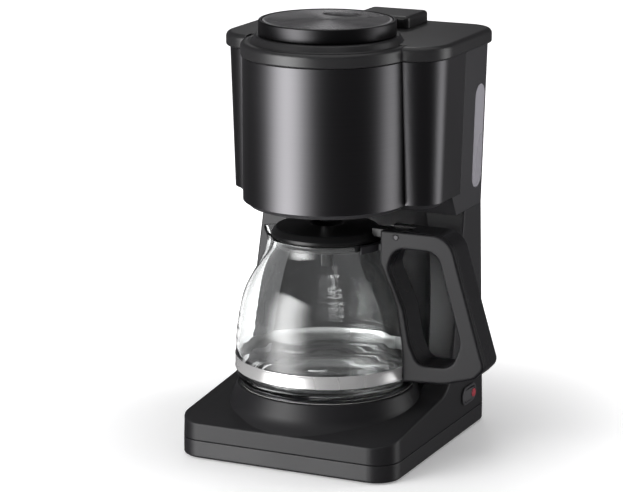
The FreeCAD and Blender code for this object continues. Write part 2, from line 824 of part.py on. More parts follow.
def window_slot(name, grow, left, right):
    half = dim("WindowWide") * 0.5 + grow
    centre = dim("WindowAlong")
    return across(name, [
        (centre - half, dim("WindowLow") - grow, half * 0.98),
        (centre + half, dim("WindowLow") - grow, half * 0.98),
        (centre + half, dim("WindowHigh") + grow, half * 0.98),
        (centre - half, dim("WindowHigh") + grow, half * 0.98)], left, right)


def head_shell(name, inset, lift, top):
    """Head block with its stepped underside; lift raises every underside."""
    chin = dim("ChinTop") + lift
    floor = dim("HeadFloor") + lift
    solid = drum_and_body(name, inset, column_top, top)
    profile = across(name + "Step", [
        (-100, chin), (21, chin), (30.5, column_top + lift), (110, column_top + lift),
        (110, top + 1), (-100, top + 1)], -100, 100)
    tuck = dim("ChinTuck") + inset
    body_chin = loft(name + "BodyChin", head_plan(tuck, False), floor,
                     head_plan(inset + 0.9, False), chin + 0.1)
    drum_chin = cone(name + "DrumChin", dim("DrumRadius") - tuck, dim("DrumRadius") - 0.9 - inset,
                     floor, chin + 0.1, 0, brew)
    front = block(name + "ChinFront", -100, 100, -100, 27, 150, chin + 0.1)
    return joined(name + "Stepped", overlap(name + "Upper", solid, profile),
                  overlap(name + "ChinPart", body_chin, front), drum_chin)


def make_head_housing():
    outer = head_shell("HeadOuter", 0, 0, head_top)
    inner = head_shell("HeadInner", 2.4, 2.6, head_top)
    recess = wrap("SkinRecess", -1.5, 0.7, dim("SkinLow") - 0.15, head_top + 2, dim("SkinEnd") + 0.15)
    neck_outer = slab("NeckOuter", head_plan(1.8, True), head_top - 2, neck_top)
    neck_inner = slab("NeckInner", head_plan(3.6, True), head_top - 4, neck_top + 2)
    neck_drum = cylinder("NeckDrum", dim("DrumRadius") - 1.8, head_top - 2, neck_top, 0, brew)
    neck_hole = cylinder("NeckHole", dim("DrumRadius") - 3.6, head_top - 4, neck_top + 2, 0, brew)
    lid_sweep = block("LidSweep", -100, 100, 79.0, 86.5, head_top + 0.4, neck_top + 4)
    neck = cut("Neck", joined("NeckSolid", neck_outer, neck_drum), neck_inner, neck_hole, lid_sweep)
    shell = cut("HeadShell", outer, inner, recess)
    hinge_tall = dim("HingeTall")
    rear_bar = overlap("RearBar", slab("RearBarPlan", lid_plan(), head_top - 0.5, 285.6),
                       block("RearBarShare", -100, 100, 86.8, 110, 270, 300))
    lugs = [rear_bar]
    reliefs = [rod(f"BarrelRelief{number}", 3.8, left, right, (dim("HingeAlong"), hinge_tall), "x")
               for number, (left, right) in enumerate(((-36.3, -6.3), (6.3, 36.3)))]
    for number, (left, right) in enumerate(((-42, -36.6), (-6, 6), (36.6, 42))):
        arm = across(f"LugArm{number}", [
            (dim("HingeAlong") - 3.2, 283), (dim("HingeAlong") + 1.9, 283),
            (dim("HingeAlong") + 3.2, hinge_tall), (dim("HingeAlong") - 3.2, hinge_tall)], left, right)
        ear = rod(f"LugEar{number}", dim("HingeBarrel"), left, right,
                  (dim("HingeAlong"), hinge_tall), "x")
        lugs += [arm, ear]
    pin_hole = rod("LugPinHole", dim("HingePin") + 0.02, -60, 60,
                   (dim("HingeAlong"), dim("HingeTall")), "x")
    drip_hole = cylinder("DripHole", 26, 160, 190, 0, brew)
    rear_hole = slab("RearHole", rectangle(-76, 60, 60.2, 88, 5, 5), 150, 172)
    window_hole = window_slot("WindowHole", 0.12, 60, 100)
    screw_holes = [cylinder(f"HeadScrewHole{number}", 1.8, 150, 172, x, y)
                   for number, (x, y) in enumerate(column_screw_spots())]
    hinge_side = cut("HingeSide", joined("HingeSolid", *lugs), *reliefs)
    whole = joined("HeadWhole", shell, neck, hinge_side)
    housing = cut("HeadHousing", whole, pin_hole, drip_hole, rear_hole, window_hole, *screw_holes)
    piece("head_housing", housing)


def make_skin_and_window():
    skin = wrap("MetalSkin", 0, dim("SkinThick").value, dim("SkinLow"), dim("SkinHigh"), dim("SkinEnd"))
    piece("metal_skin", skin)
    walls = cut("WindowWall", drum_and_body("WindowOut", 0, 170, 260),
                drum_and_body("WindowIn", 2.4, 169, 261))
    pane = overlap("WindowPane", walls, window_slot("WindowPlug", 0, 60, 100))
    piece("water_window", pane)


def make_head_screws():
    screws = []
    for number, (x, y) in enumerate(column_screw_spots()):
        seat = column_top + 2.62
        screws.append(turned(f"HeadScrew{number}", [
            (0, seat - 13), (1.5, seat - 12), (1.5, seat), (3.2, seat), (3.2, seat + 2, 0.6), (0, seat + 2)],
            x, y))
    piece("head_screws", group("HeadScrews", screws))


def make_inner_deck():
    low = dim("DeckLow")
    high = dim("DeckHigh")
    sheet_solid = drum_and_body("DeckSheet", 2.55, low, high)
    basket_hole = cylinder("DeckBasketHole", 51.2, low - 2, high + 2, 0, brew)
    tank_hole = slab("DeckTankHole", rectangle(-58.3, 76.3, 41.7, 87.3, 8, 13.8), low - 2, high + 2)
    riser_hole = cylinder("DeckRiserHole", 5.2, low - 2, high + 2, -dim("RiserSide"), dim("RiserAlong"))
    piece("inner_deck", cut("InnerDeck", sheet_solid, basket_hole, tank_hole, riser_hole))


def make_brew_basket():
    low = dim("BasketBottom")
    seat = dim("BasketSeat")
    deck = dim("DeckHigh")
    piece("brew_basket", turned_body("BrewBasket", [
        (4.2, low + 8), (6.9, low + 8), (6.9, low), (24, low, 3), (25, seat - 3.2), (44, seat - 2, 8),
        (49.5, deck + 0.05), (53.6, deck + 0.05), (53.6, deck + 1.7, 0.6), (47.6, deck + 1.7, 0.6),
        (42.2, seat + 0.2, 7), (4.2, seat)], 0, brew))
    piece("mesh_filter", turned_body("MeshFilter", [
        (0, seat + 12), (37.2, seat + 12, 5), (46.2, deck - 0.4), (46.9, deck - 0.4), (46.9, deck + 1.4),
        (45.2, deck + 1.4), (36.4, seat + 12.9, 4.2), (0, seat + 12.9)], 0, brew))


def make_drip_valve():
    low = dim("BasketBottom")
    seat = dim("BasketSeat")
    piece("drip_valve", turned_body("DripValve", [
        (0, low - 6.7), (5.4, low - 6.7, 1.0), (6.2, low - 4.4), (2.2, low - 4.4), (2.2, seat + 0.7),
        (7.6, seat + 0.7), (7.6, seat + 2.2, 0.6), (0, seat + 2.2)], 0, brew))
    piece("valve_seal", turned_body("ValveSeal", [
        (2.25, seat + 0.08), (7.4, seat + 0.08), (7.4, seat + 0.68), (2.25, seat + 0.68)], 0, brew))
    coil = doc.addObject("Part::Helix", "SpringPath")
    bind(coil, Pitch=2.3, Height=11.2, Radius=4.6)
    wire = doc.addObject("Sketcher::SketchObject", "SpringWire")
    draw_circle(wire, 4.6, 0, 0.4)
    move(wire, 0, 0, 0, FRONT)
    spring = doc.addObject("Part::Sweep", "ValveSpring")
    spring.Sections = [wire]
    doc.recompute()
    spring.Spine = (coil, [f"Edge{n}" for n in range(1, len(coil.Shape.Edges) + 1)])
    spring.Solid = True
    spring.Frenet = True
    holder = group("SpringHolder", [spring])
    move(holder, 0, brew, low - 3.9)
    piece("valve_spring", holder)


# ---------------------------------------------------------------- lid

def lid_plan():
    """Body outline of the head, grown by the lid's overhang."""
    reach = dim("LidReach")
    half = dim("HeadHalf") + reach
    return rectangle(-half, half, -(dim("LobeFrontHigh") + reach), rear + 2.6,
                     dim("LobeRadiusHigh") + reach, dim("BaseCorner") + reach)


def make_lid():
    ledge = dim("LedgeHigh")
    cap_seat = dim("CapLow") - 0.1
    lip = dim("LidLip")
    slab_block = slab("LidSlab", lid_plan(), lip, lid_high)
    slab_round = softened("LidSlabRound", slab_block, [
        (3.8, lambda box: box.ZMin > lid_high.value - 0.01),
        (1.6, lambda box: box.ZMax < lip.value + 0.01)])
    step = cylinder("LidStep", 59.6, ledge - 1, lid_high + 5, 0, brew)
    step_front = block("LidStepFront", -80, 80, -100, brew + 2, ledge - 2, lid_high + 6)
    slab_stepped = cut("LidSlabStepped", slab_round, overlap("LidStepCut", step, step_front))
    rim = turned("LidDrum", [(0, lip), (60.5, lip, 1.2), (60.5, ledge, 3.2), (55.5, ledge, 1.2),
                             (54.0, ledge - 1.2, 1.5), (50.5, cap_seat, 2.0), (0, cap_seat)], 0, brew)
    cavity = slab("LidCavity", head_plan(1.0, True), lip - 1, lid_low)
    cavity_drum = cylinder("LidCavityDrum", dim("DrumRadius") - 1.0, lip - 1, lid_low, 0, brew)
    rear_share = block("LidRearCut", -100, 100, 86.4, 110, lip - 1, lid_low)
    cover = cut("LidCover", joined("LidCoverSolid", slab_stepped, rim), cavity, cavity_drum, rear_share)
    skirt_out = slab("SkirtOut", head_plan(4.0, True), lid_low - 4.5, lid_low + 1)
    skirt_in = slab("SkirtIn", head_plan(5.6, True), lid_low - 6, lid_low)
    drum_out = cylinder("SkirtDrumOut", dim("DrumRadius") - 4.0, lid_low - 4.5, lid_low + 1, 0, brew)
    drum_in = cylinder("SkirtDrumIn", dim("DrumRadius") - 5.6, lid_low - 6, lid_low, 0, brew)
    rear_cut = block("SkirtRear", -100, 100, 76, 110, lid_low - 8, lid_low)
    skirt = cut("Skirt", joined("SkirtSolid", skirt_out, drum_out), skirt_in, drum_in, rear_cut)
    barrels = []
    for number, (left, right) in enumerate(((-36, -6.6), (6.6, 36))):
        barrels.append(rod(f"Barrel{number}", dim("HingeBarrel"), left, right,
                           (dim("HingeAlong"), dim("HingeTall")), "x"))
    notches = []
    for number, (left, right) in enumerate(((-42.6, -36), (-6.6, 6.6), (36, 42.6))):
        notches.append(block(f"LugNotch{number}", left, right, 89.0, 100, lid_low - 2, lid_high + 2))
    bore = rod("LidPinHole", dim("HingePin") + 0.06, -60, 60, (dim("HingeAlong"), dim("HingeTall")), "x")
    whole = joined("LidWhole", cover, skirt, *barrels)
    piece("lid_panel", cut("LidPanel", whole, bore, *notches))
    piece("hinge_pin", rod("HingeRod", dim("HingePin"), -42.5, 42.5,
                           (dim("HingeAlong"), dim("HingeTall")), "x"))


def make_rear_cover():
    cover = slab("CoverBlock", rectangle(-11.5, 32.5, 50, 88.6, 4, 4), lid_high + 0.02, 299.8)
    rounded = softened("RearCover", cover, [(2.6, lambda box: box.ZMin > 299.7)])
    piece("rear_cover", rounded)


def make_cap():
    low = dim("CapLow")
    high = dim("CapHigh")
    radius = dim("CapRadius")
    piece("lid_cap", turned_body("LidCap", [
        (0, low - 0.05), (radius - 0.8, low - 0.05), (radius, low + 0.8), (radius, high, 0.9),
        (45.6, high), (45.6, high - 1.6), (0, high - 1.6)], 0, brew))
    plate = turned_body("CapPlate", [
        (0, high - 1.55), (45.4, high - 1.55), (45.4, high - 0.3, 0.3), (0, high - 0.3)], 0, brew)
    recess = body_sketch(plate, "GripOutline", height=high - 1.1)
    draw_outline(recess, rectangle(-13, 13, 16, 32, 7.9, 7.9))
    remove(plate, "GripRecess", recess, 4)
    piece("cap_plate", plate)


def make_spray_channel():
    side = dim("RiserSide")
    top = lid_low - 0.05
    run = math.atan2(dim("RiserAlong").value - brew.value, -side.value)
    reach = math.hypot(dim("RiserAlong").value - brew.value, side.value)
    turn = Rotation(Vector(0, 0, 1), math.degrees(run))
    low = 277.2
    arm = doc.addObject("Part::Box", "SprayArm")
    bind(arm, Length=reach + 5, Width=11.6, Height=top - low)
    arm.Placement = Placement(Vector(0, brew.value, low) - turn.multVec(Vector(0, 5.8, 0)), turn)
    hollow = doc.addObject("Part::Box", "SprayArmHollow")
    bind(hollow, Length=reach + 3.4, Width=8.4, Height=6.2)
    hollow.Placement = Placement(Vector(0, brew.value, low + 1.6) - turn.multVec(Vector(0, 4.2, 0)), turn)
    head = cylinder("SprayHead", 24, low, top, 0, brew)
    chamber = cylinder("SprayChamber", 22.3, low + 1.6, low + 7.8, 0, brew)
    inlet = cylinder("SprayInlet", 2.9, low - 2, low + 3, -side, dim("RiserAlong"))
    holes = []
    for number in range(8):
        angle = math.radians(45 * number)
        holes.append(cylinder(f"SprayHole{number}", 1.3, low - 2, low + 3,
                              15 * math.cos(angle), brew + 15 * math.sin(angle)))
    solid = joined("SpraySolid", arm, head)
    piece("spray_channel", cut("SprayChannel", solid, hollow, chamber, inlet, *holes))


# ---------------------------------------------------------------- carafe

def make_glass():
    low = dim("GlassBottom")
    top = dim("GlassTop")
    thick = dim("GlassWall")
    piece("carafe_glass", turned_body("CarafeGlass", [
        (0, low + 1.6), (52, low + 1.6, 2), (54.5, low, 1.2), (59.5, low), (63.6, low + 4.5, 4),
        (64.6, 58), (64.6, 70), (64.8, 82, 40), (59.6, 112, 70), (38.8, 146, 11), (40.4, top, 0.8),
        (40.4 - thick, top, 0.8), (38.8 - thick, 145.5, 11), (57.2, 112, 70), (62.4, 82, 38), (62.3, 58),
        (60.6, low + 4, 5), (0, low + 4.2)], 0, brew))


def make_band():
    low = dim("BandLow")
    high = dim("BandHigh")
    radius = dim("BandRadius")
    ring = turned("BandRing", [
        (64.75, low), (radius + 0.2, low, 0.15), (radius + 0.2, high, 0.15), (64.75, high)], 0, brew)
    ear = block("BandEar", 64.9, 73, brew - 6, brew + 6, low + 2, low + 3.6)
    hole = cylinder("BandEarHole", 1.9, low, low + 6, 69.5, brew)
    piece("steel_band", cut("SteelBand", joined("BandWithEar", ring, ear), hole))


def lies_at(place):
    """Test for edges that lie in the plane across Y at the given place."""
    return lambda box: abs(box.YMin - place.value) < 0.01 and abs(box.YMax - place.value) < 0.01


def make_handle():
    near = brew - dim("HandleNear")
    far = near + dim("HandleThick")
    top = dim("HandleTop")
    outside = [(40, top, 1.5), (98.4, top, 16), (125.5, 72.5, 7), (118, 64.5, 6),
               (96, 58.2, 20), (58, 56, 1.5), (58, 100, 10), (44, 141, 2)]
    opening = [(57.5, 151.5, 11), (89.6, 151.5, 11), (107.5, 88, 16), (101, 70.5, 11),
               (76, 69.5, 9), (69.5, 84, 12), (65, 108, 20), (52.5, 137, 10)]
    split = near + 3.2
    envelope = turned("HandleEnvelope", [(0, 40), (65.9, 40), (65.9, 77, 20), (61.2, 112, 60),
                                         (49.2, 140, 3), (49.2, 170), (0, 170)], 0, brew)
    shells = []
    for name, start, end, face, radius in (("Grip", split + 0.3, far, far, 3.0),
                                           ("Plate", near, split, near, 1.4)):
        solid = along(name + "Block", outside, start, end)
        hole = along(name + "Opening", opening, start - 1, end + 1)
        ring = cut(name + "Ring", solid, hole)
        rounded = softened(name + "Rounded", ring, [(radius, lies_at(face))])
        shells.append(cut(name + "Hugging", rounded, envelope))
    lid_slot = block("LidArmSlot", 40, 66, brew - 5.3, brew + 5.3, 155.5, 170)
    pin_spot = (58.7, 159.6)
    pin_hole = rod("LidPinBore", 1.52, near - 0.5, far - 3, pin_spot, "y")
    ear_slot = block("EarSlot", 60, 73.6, brew - 6.3, brew + 6.3, 58.9, 62.0)
    screw_hole = cylinder("BandScrewHole", 1.75, 50, 66, 69.5, brew)
    screw_sink = cylinder("BandScrewSink", 3.6, 50, 58.0, 69.5, brew)
    grip = cut("CarafeGrip", shells[0], lid_slot, pin_hole, ear_slot, screw_hole, screw_sink)
    piece("carafe_handle", grip)
    piece("handle_plate", cut("HandlePlate", shells[1],
                              rod("PlatePinBore", 1.52, near - 1, far, pin_spot, "y")))
    piece("carafe_lid_pin", rod("CarafeLidPin", 1.5, near - 0.4, far - 3.2, pin_spot, "y"))
    piece("band_screw", turned_body("BandScrew", [
        (0, 55.6), (3.2, 55.6, 0.5), (3.2, 57.95), (1.5, 57.95), (1.5, 65), (0, 65.8)], 69.5, brew))


def make_carafe_lid():
    top = dim("GlassTop")
    plate = turned("CarafeLidPlate", [
        (4.4, top - 6), (35.6, top - 6, 1), (35.6, top + 0.1), (39.4, top + 0.1, 0.6), (39.4, top + 2.5, 1),
        (36, top + 6.5, 2), (12, top + 8.6, 1), (10, top + 6.8), (4.4, top + 4.5)], 0, brew)
    under = turned("CarafeLidUnder", [
        (6.2, top - 8), (33.8, top - 8), (33.8, top + 1), (31, top + 4.6), (12, top + 5), (6.2, top + 3)],
        0, brew)
    shell = cut("CarafeLidShell", plate, under)
    arm = block("CarafeLidArm", 30, 61.5, brew - 5, brew + 5, top + 3.2, 162.2)
    trim = cylinder("CarafeLidArmTrim", 37, top - 10, 170, 0, brew)
    arm = cut("CarafeLidArmCut", arm, trim)
    pin_hole = rod("CarafeLidArmBore", 1.55, brew - 20, brew + 20, (58.7, 159.6), "y")
    piece("carafe_lid", cut("CarafeLid", joined("CarafeLidSolid", shell, arm), pin_hole))
    piece("drip_tube", turned_body("DripTube", [
        (2.6, 130.5), (4.2, 130.5), (4.2, top + 4.3), (2.6, top + 4.3)], 0, brew))
    ring = turned("CollarRing", [(39.9, 147.0), (42.4, 146.8), (42.6, 151.8), (40.9, 152.6)], 0, brew)
    sector = block("CollarSector", 36, 60, -60, 40, 140, 156)
    tongue = block("CollarTongue", 42, 48.6, brew - 6, brew + 6, 147.2, 151.6)
    piece("rim_collar", joined("RimCollar", overlap("CollarClip", ring, sector), tongue))


MAKERS = [
    make_base_pan, make_rubber_feet, make_pan_screws, make_base_housing, make_cord_gland,
    make_switch, make_hotplate, make_heater, make_heater_parts, make_water_path, make_tank,
    make_head_housing, make_skin_and_window, make_head_screws, make_inner_deck, make_brew_basket,
    make_drip_valve, make_lid, make_rear_cover, make_cap, make_spray_channel, make_glass,
    make_band, make_handle, make_carafe_lid,
]
for make in MAKERS:
    make()
doc.recompute()

# ---------------------------------------------------------------- checks and files

for thing in doc.Objects:
    if "Invalid" in thing.State or "Error" in thing.State:
        raise RuntimeError(f"{thing.Name} ({thing.Label}) did not compute: {thing.State}")
for thing in PIECES:
    if thing.Shape.isNull() or not thing.Shape.isValid():
        raise RuntimeError(f"{thing.Label} has no valid shape")
os.makedirs("parts", exist_ok=True)
for thing in PIECES:
    thing.Shape.exportStep(f"parts/{thing.Label}.step")
    print(f"{thing.Label}: {len(thing.Shape.Solids)} solid(s), {thing.Shape.Volume / 1000:.2f} cm3")
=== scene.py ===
"""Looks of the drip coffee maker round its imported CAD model.  Metres, +X right, +Y back, +Z up."""

import json
import math

import bpy
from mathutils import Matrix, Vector


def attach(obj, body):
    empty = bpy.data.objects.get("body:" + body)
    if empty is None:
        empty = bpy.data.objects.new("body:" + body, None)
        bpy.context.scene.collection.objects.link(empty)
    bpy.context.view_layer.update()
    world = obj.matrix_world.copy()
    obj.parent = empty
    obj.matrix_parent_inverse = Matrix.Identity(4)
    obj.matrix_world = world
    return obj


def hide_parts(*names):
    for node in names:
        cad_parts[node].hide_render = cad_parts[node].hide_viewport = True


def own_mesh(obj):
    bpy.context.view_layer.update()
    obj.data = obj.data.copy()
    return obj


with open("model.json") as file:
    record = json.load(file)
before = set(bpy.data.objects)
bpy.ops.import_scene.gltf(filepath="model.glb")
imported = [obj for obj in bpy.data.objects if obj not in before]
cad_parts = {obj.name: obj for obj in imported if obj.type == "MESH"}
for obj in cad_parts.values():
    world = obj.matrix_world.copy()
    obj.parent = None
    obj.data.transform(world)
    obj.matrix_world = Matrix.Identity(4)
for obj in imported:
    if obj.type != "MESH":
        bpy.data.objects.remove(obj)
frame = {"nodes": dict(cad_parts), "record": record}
bpy.context.view_layer.update()

scene = bpy.context.scene
MM = 0.001                 # the lengths below are in millimetres until they meet this
BREW = -16.0               # place along Y of the drum's and the carafe's axis
EDGE_RADIUS = 0.9 * MM     # how far a moulded edge looks rounded


# ------------------------------------------------------------------ node helpers

class Shader:
    """A principled material with short calls for the nodes it needs."""

    def __init__(self, name, color, roughness, metallic=0.0, **sockets):
        self.material = bpy.data.materials.new(name)
        self.material.use_nodes = True
        self.tree = self.material.node_tree
        self.bsdf = self.tree.nodes["Principled BSDF"]
        self.color = color
        self.bsdf.inputs["Base Color"].default_value = (*color, 1.0)
        self.bsdf.inputs["Roughness"].default_value = roughness
        self.bsdf.inputs["Metallic"].default_value = metallic
        for socket, value in sockets.items():
            self.bsdf.inputs[socket.replace("_", " ")].default_value = value
        self.coordinates = self.node("ShaderNodeTexCoord").outputs["Object"]

    def node(self, kind, **settings):
        made = self.tree.nodes.new(kind)
        for name, value in settings.items():
            setattr(made, name, value)
        return made

    def link(self, source, target):
        self.tree.links.new(source, target)

    def stretch(self, scale):
        """Object coordinates scaled per axis."""
        mapping = self.node("ShaderNodeMapping")
        mapping.inputs["Scale"].default_value = scale
        self.link(self.coordinates, mapping.inputs["Vector"])
        return mapping.outputs["Vector"]

    def noise(self, scale, detail=2.0, stretch=None, roughness=0.5):
        made = self.node("ShaderNodeTexNoise")
        made.inputs["Scale"].default_value = scale
        made.inputs["Detail"].default_value = detail
        made.inputs["Roughness"].default_value = roughness
        vector = self.stretch(stretch) if stretch else self.coordinates
        self.link(vector, made.inputs["Vector"])
        return made.outputs["Fac"]

    def map(self, source, low, high, start=0.3, end=0.7):
        made = self.node("ShaderNodeMapRange")
        made.inputs["From Min"].default_value = start
        made.inputs["From Max"].default_value = end
        made.inputs["To Min"].default_value = low
        made.inputs["To Max"].default_value = high
        self.link(source, made.inputs["Value"])
        return made.outputs["Result"]

    def vary_color(self, source, amount):
        """Colour a little darker and lighter along a source."""
        mix = self.node("ShaderNodeMix", data_type="RGBA")
        self.link(source, mix.inputs["Factor"])
        mix.inputs["A"].default_value = (*[c * (1 - amount) for c in self.color], 1.0)
        mix.inputs["B"].default_value = (*[min(1.0, c * (1 + amount)) for c in self.color], 1.0)
        self.link(mix.outputs["Result"], self.bsdf.inputs["Base Color"])

    def vary_roughness(self, source, low, high):
        self.link(self.map(source, low, high), self.bsdf.inputs["Roughness"])

    def roughen_top(self, roughness, top):
        """Coarser grain on faces that look up, so that they stay duller than the walls."""
        normal = self.node("ShaderNodeTexCoord").outputs["Normal"]
        split = self.node("ShaderNodeSeparateXYZ")
        self.link(normal, split.inputs["Vector"])
        steepness = self.map(split.outputs["Z"], roughness, top, 0.35, 0.9)
        self.link(steepness, self.bsdf.inputs["Roughness"])

    def bump(self, source, depth, before=None):
        """Height from a source, on top of an earlier normal if there is one."""
        made = self.node("ShaderNodeBump")
        made.inputs["Distance"].default_value = depth
        made.inputs["Strength"].default_value = 1.0
        self.link(source, made.inputs["Height"])
        if before is not None:
            self.link(before, made.inputs["Normal"])
        return made.outputs["Normal"]

    def set_normal(self, source):
        self.link(source, self.bsdf.inputs["Normal"])


def moulded_plastic(name, color, roughness, gloss=0.4, grain=0.012, grain_size=0.45, spread=0.025,
                    edge=EDGE_RADIUS, matte_top=0.0):
    """Injection moulded plastic: fine spark-eroded grain, faint flow marks and softly rounded edges."""
    made = Shader(name, color, roughness, Specular_IOR_Level=gloss)
    fine = made.noise(1.0 / (grain_size * MM), 3.0, roughness=0.62)
    flow = made.noise(18.0, 1.0, stretch=(1.0, 1.0, 0.45))
    made.vary_color(fine, 0.16)
    if matte_top:
        made.roughen_top(roughness, matte_top)
    else:
        made.vary_roughness(flow, roughness - spread, roughness + spread)
    eased = made.node("ShaderNodeBevel", samples=6)
    eased.inputs["Radius"].default_value = edge
    made.set_normal(made.bump(fine, grain * MM, eased.outputs["Normal"]))
    return made.material


def rubber(name, color, roughness=0.75):
    made = Shader(name, color, roughness, Specular_IOR_Level=0.35)
    fine = made.noise(1800.0, 3.0)
    made.vary_color(made.noise(90.0, 2.0), 0.18)
    made.vary_roughness(made.noise(300.0, 2.0), roughness - 0.1, roughness + 0.1)
    made.set_normal(made.bump(fine, 0.03 * MM))
    return made.material


def brushed_metal(name, color, roughness, anisotropy, stretch, size, depth, spread=0.05,
                  metallic=1.0):
    """Metal with fine drawn lines; stretch says which way the lines run."""
    made = Shader(name, color, roughness, metallic, Anisotropic=anisotropy)
    lines = made.noise(size, 1.0, stretch=stretch)
    blotch = made.noise(14.0, 1.0, stretch=(1.0, 1.0, 0.5))
    made.vary_color(lines, 0.09)
    made.vary_roughness(blotch, roughness - spread, roughness + spread)
    made.set_normal(made.bump(lines, depth * MM))
    tangent = made.node("ShaderNodeTangent", direction_type="RADIAL", axis="Z")
    made.link(tangent.outputs["Tangent"], made.bsdf.inputs["Tangent"])
    return made.material


def cast_metal(name, color, roughness):
    made = Shader(name, color, roughness, 1.0)
    grain = made.noise(900.0, 5.0, roughness=0.65)
    made.vary_color(made.noise(120.0, 3.0), 0.14)
    made.vary_roughness(made.noise(250.0, 3.0), roughness - 0.1, roughness + 0.12)
    made.set_normal(made.bump(grain, 0.05 * MM))
    return made.material


def clear_material(name, color, roughness, transmission, ior, streaks):
    """Clear or milky plastic and glass, with faint moulding streaks."""
    made = Shader(name, color, roughness, 0.0, Transmission_Weight=transmission, IOR=ior)
    streak = made.noise(35.0, 2.0, stretch=(1.0, 1.0, 0.3))
    made.vary_color(streak, 0.02)
    made.vary_roughness(streak, roughness * 0.5, roughness * 1.4)
    made.set_normal(made.bump(streak, streaks * MM))
    return made.material


def woven_mesh(name, color):
    """Fine nylon mesh in a moulded frame: crossing threads in the colour and in the height."""
    made = Shader(name, color, 0.5)
    waves = []
    for direction in ("DIAGONAL", "Z"):
        wave = made.node("ShaderNodeTexWave", bands_direction=direction, wave_type="BANDS")
        wave.inputs["Scale"].default_value = 330.0
        made.link(made.coordinates, wave.inputs["Vector"])
        waves.append(wave.outputs["Fac"])
    mixed = made.node("ShaderNodeMath", operation="MULTIPLY")
    made.link(waves[0], mixed.inputs[0])
    made.link(waves[1], mixed.inputs[1])
    made.vary_color(mixed.outputs["Value"], 0.45)
    made.vary_roughness(made.noise(70.0), 0.4, 0.6)
    made.set_normal(made.bump(mixed.outputs["Value"], 0.2 * MM))
    return made.material


MATERIALS = {
    "base_plastic": moulded_plastic("base_plastic", (0.013, 0.0126, 0.0138), 0.40, 0.32),
    "body_plastic": moulded_plastic("body_plastic", (0.028, 0.0274, 0.0297), 0.42, 0.34),
    "lid_plastic": moulded_plastic("lid_plastic", (0.015, 0.0147, 0.0154), 0.34, 0.45),
    "cap_plastic": brushed_metal("cap_plastic", (0.036, 0.0353, 0.0368), 0.34, 0.3,
                                 (0.2, 0.2, 30.0), 90.0, 0.001),
    "handle_plastic": moulded_plastic("handle_plastic", (0.022, 0.0215, 0.0238), 0.34, 0.4),
    "switch_plastic": moulded_plastic("switch_plastic", (0.04, 0.039, 0.042), 0.36),
    "basket_plastic": moulded_plastic("basket_plastic", (0.006, 0.006, 0.0063), 0.3, 0.3),
    "soft_black": rubber("soft_black", (0.03, 0.03, 0.03), 0.6),
    "foot_rubber": rubber("foot_rubber", (0.035, 0.035, 0.035), 0.8),
    "silicone": rubber("silicone", (0.62, 0.62, 0.6), 0.5),
    "clear_plastic": clear_material("clear_plastic", (0.86, 0.89, 0.92), 0.16, 0.85, 1.5, 0.02),
    "window_plastic": clear_material("window_plastic", (0.30, 0.29, 0.32), 0.35, 0.1, 1.49, 0.02),
    "red_plastic": moulded_plastic("red_plastic", (0.32, 0.03, 0.045), 0.3),
    "dark_metal": brushed_metal("dark_metal", (0.078, 0.0765, 0.080), 0.31, 0.55,
                                (0.2, 0.2, 60.0), 60.0, 0.0006, 0.02),
    "cap_metal": brushed_metal("cap_metal", (0.135, 0.1325, 0.1375), 0.28, 0.85,
                               (1.0, 1.0, 1.0), 900.0, 0.001),
    "stainless_steel": brushed_metal("stainless_steel", (0.66, 0.655, 0.65), 0.24, 0.35,
                                     (0.2, 0.2, 40.0), 80.0, 0.001, metallic=0.65),
    "zinc_steel": cast_metal("zinc_steel", (0.62, 0.62, 0.60), 0.35),
    "heater_aluminium": cast_metal("heater_aluminium", (0.66, 0.66, 0.67), 0.42),
    "thermostat_body": moulded_plastic("thermostat_body", (0.12, 0.05, 0.03), 0.3),
    "hotplate_coating": cast_metal("hotplate_coating", (0.05, 0.05, 0.052), 0.4),
    "filter_mesh": woven_mesh("filter_mesh", (0.5, 0.45, 0.33)),
    "carafe_glass": clear_material("carafe_glass", (0.97, 0.98, 0.98), 0.012, 1.0, 1.47, 0.004),
}

# Pieces whose shade or gloss differs from their slot's; the column's darker colour is painted shade.
BASE_SATIN = moulded_plastic("base_satin", (0.012, 0.0117, 0.0128), 0.38, 0.22, matte_top=0.7)
# Column: the body plastic made darker, painted shade standing for the shade under the head on the column's
# front.
COLUMN_PAINTED_SHADE = moulded_plastic("column_painted_shade", (0.019, 0.0186, 0.0202), 0.40, 0.24, matte_top=0.6)
NODE_MATERIALS = {
    "base_housing": BASE_SATIN,
    "column_housing": COLUMN_PAINTED_SHADE,
    "carafe_handle": moulded_plastic("handle_grip_plastic", (0.008, 0.0078, 0.0086), 0.27, 0.3,
                                     edge=1.6 * MM),
    "handle_plate": moulded_plastic("handle_plate_plastic", (0.008, 0.0077, 0.0087), 0.33, 0.14,
                                    edge=2.2 * MM),
}
for subpart in frame["record"]["subparts"]:
    node = frame["nodes"][subpart["node"]]
    node.data.materials.clear()
    node.data.materials.append(NODE_MATERIALS.get(subpart["node"], MATERIALS[subpart["material_slot"]]))


# ------------------------------------------------------------------ mesh helpers

def mesh_piece(name, points, faces, slot, body, *nodes):
    """Smooth mesh object from points in millimetres, riding on a body and standing for CAD nodes."""
    mesh = bpy.data.meshes.new(name)
    mesh.from_pydata([Vector(p) * MM for p in points], [], faces)
    mesh.validate()
    mesh.update()
    mesh.shade_smooth()
    mesh.materials.append(MATERIALS[slot])
    thing = bpy.data.objects.new(name, mesh)
    scene.collection.objects.link(thing)
    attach(thing, body)
    if nodes:
        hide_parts(*nodes)
    return thing


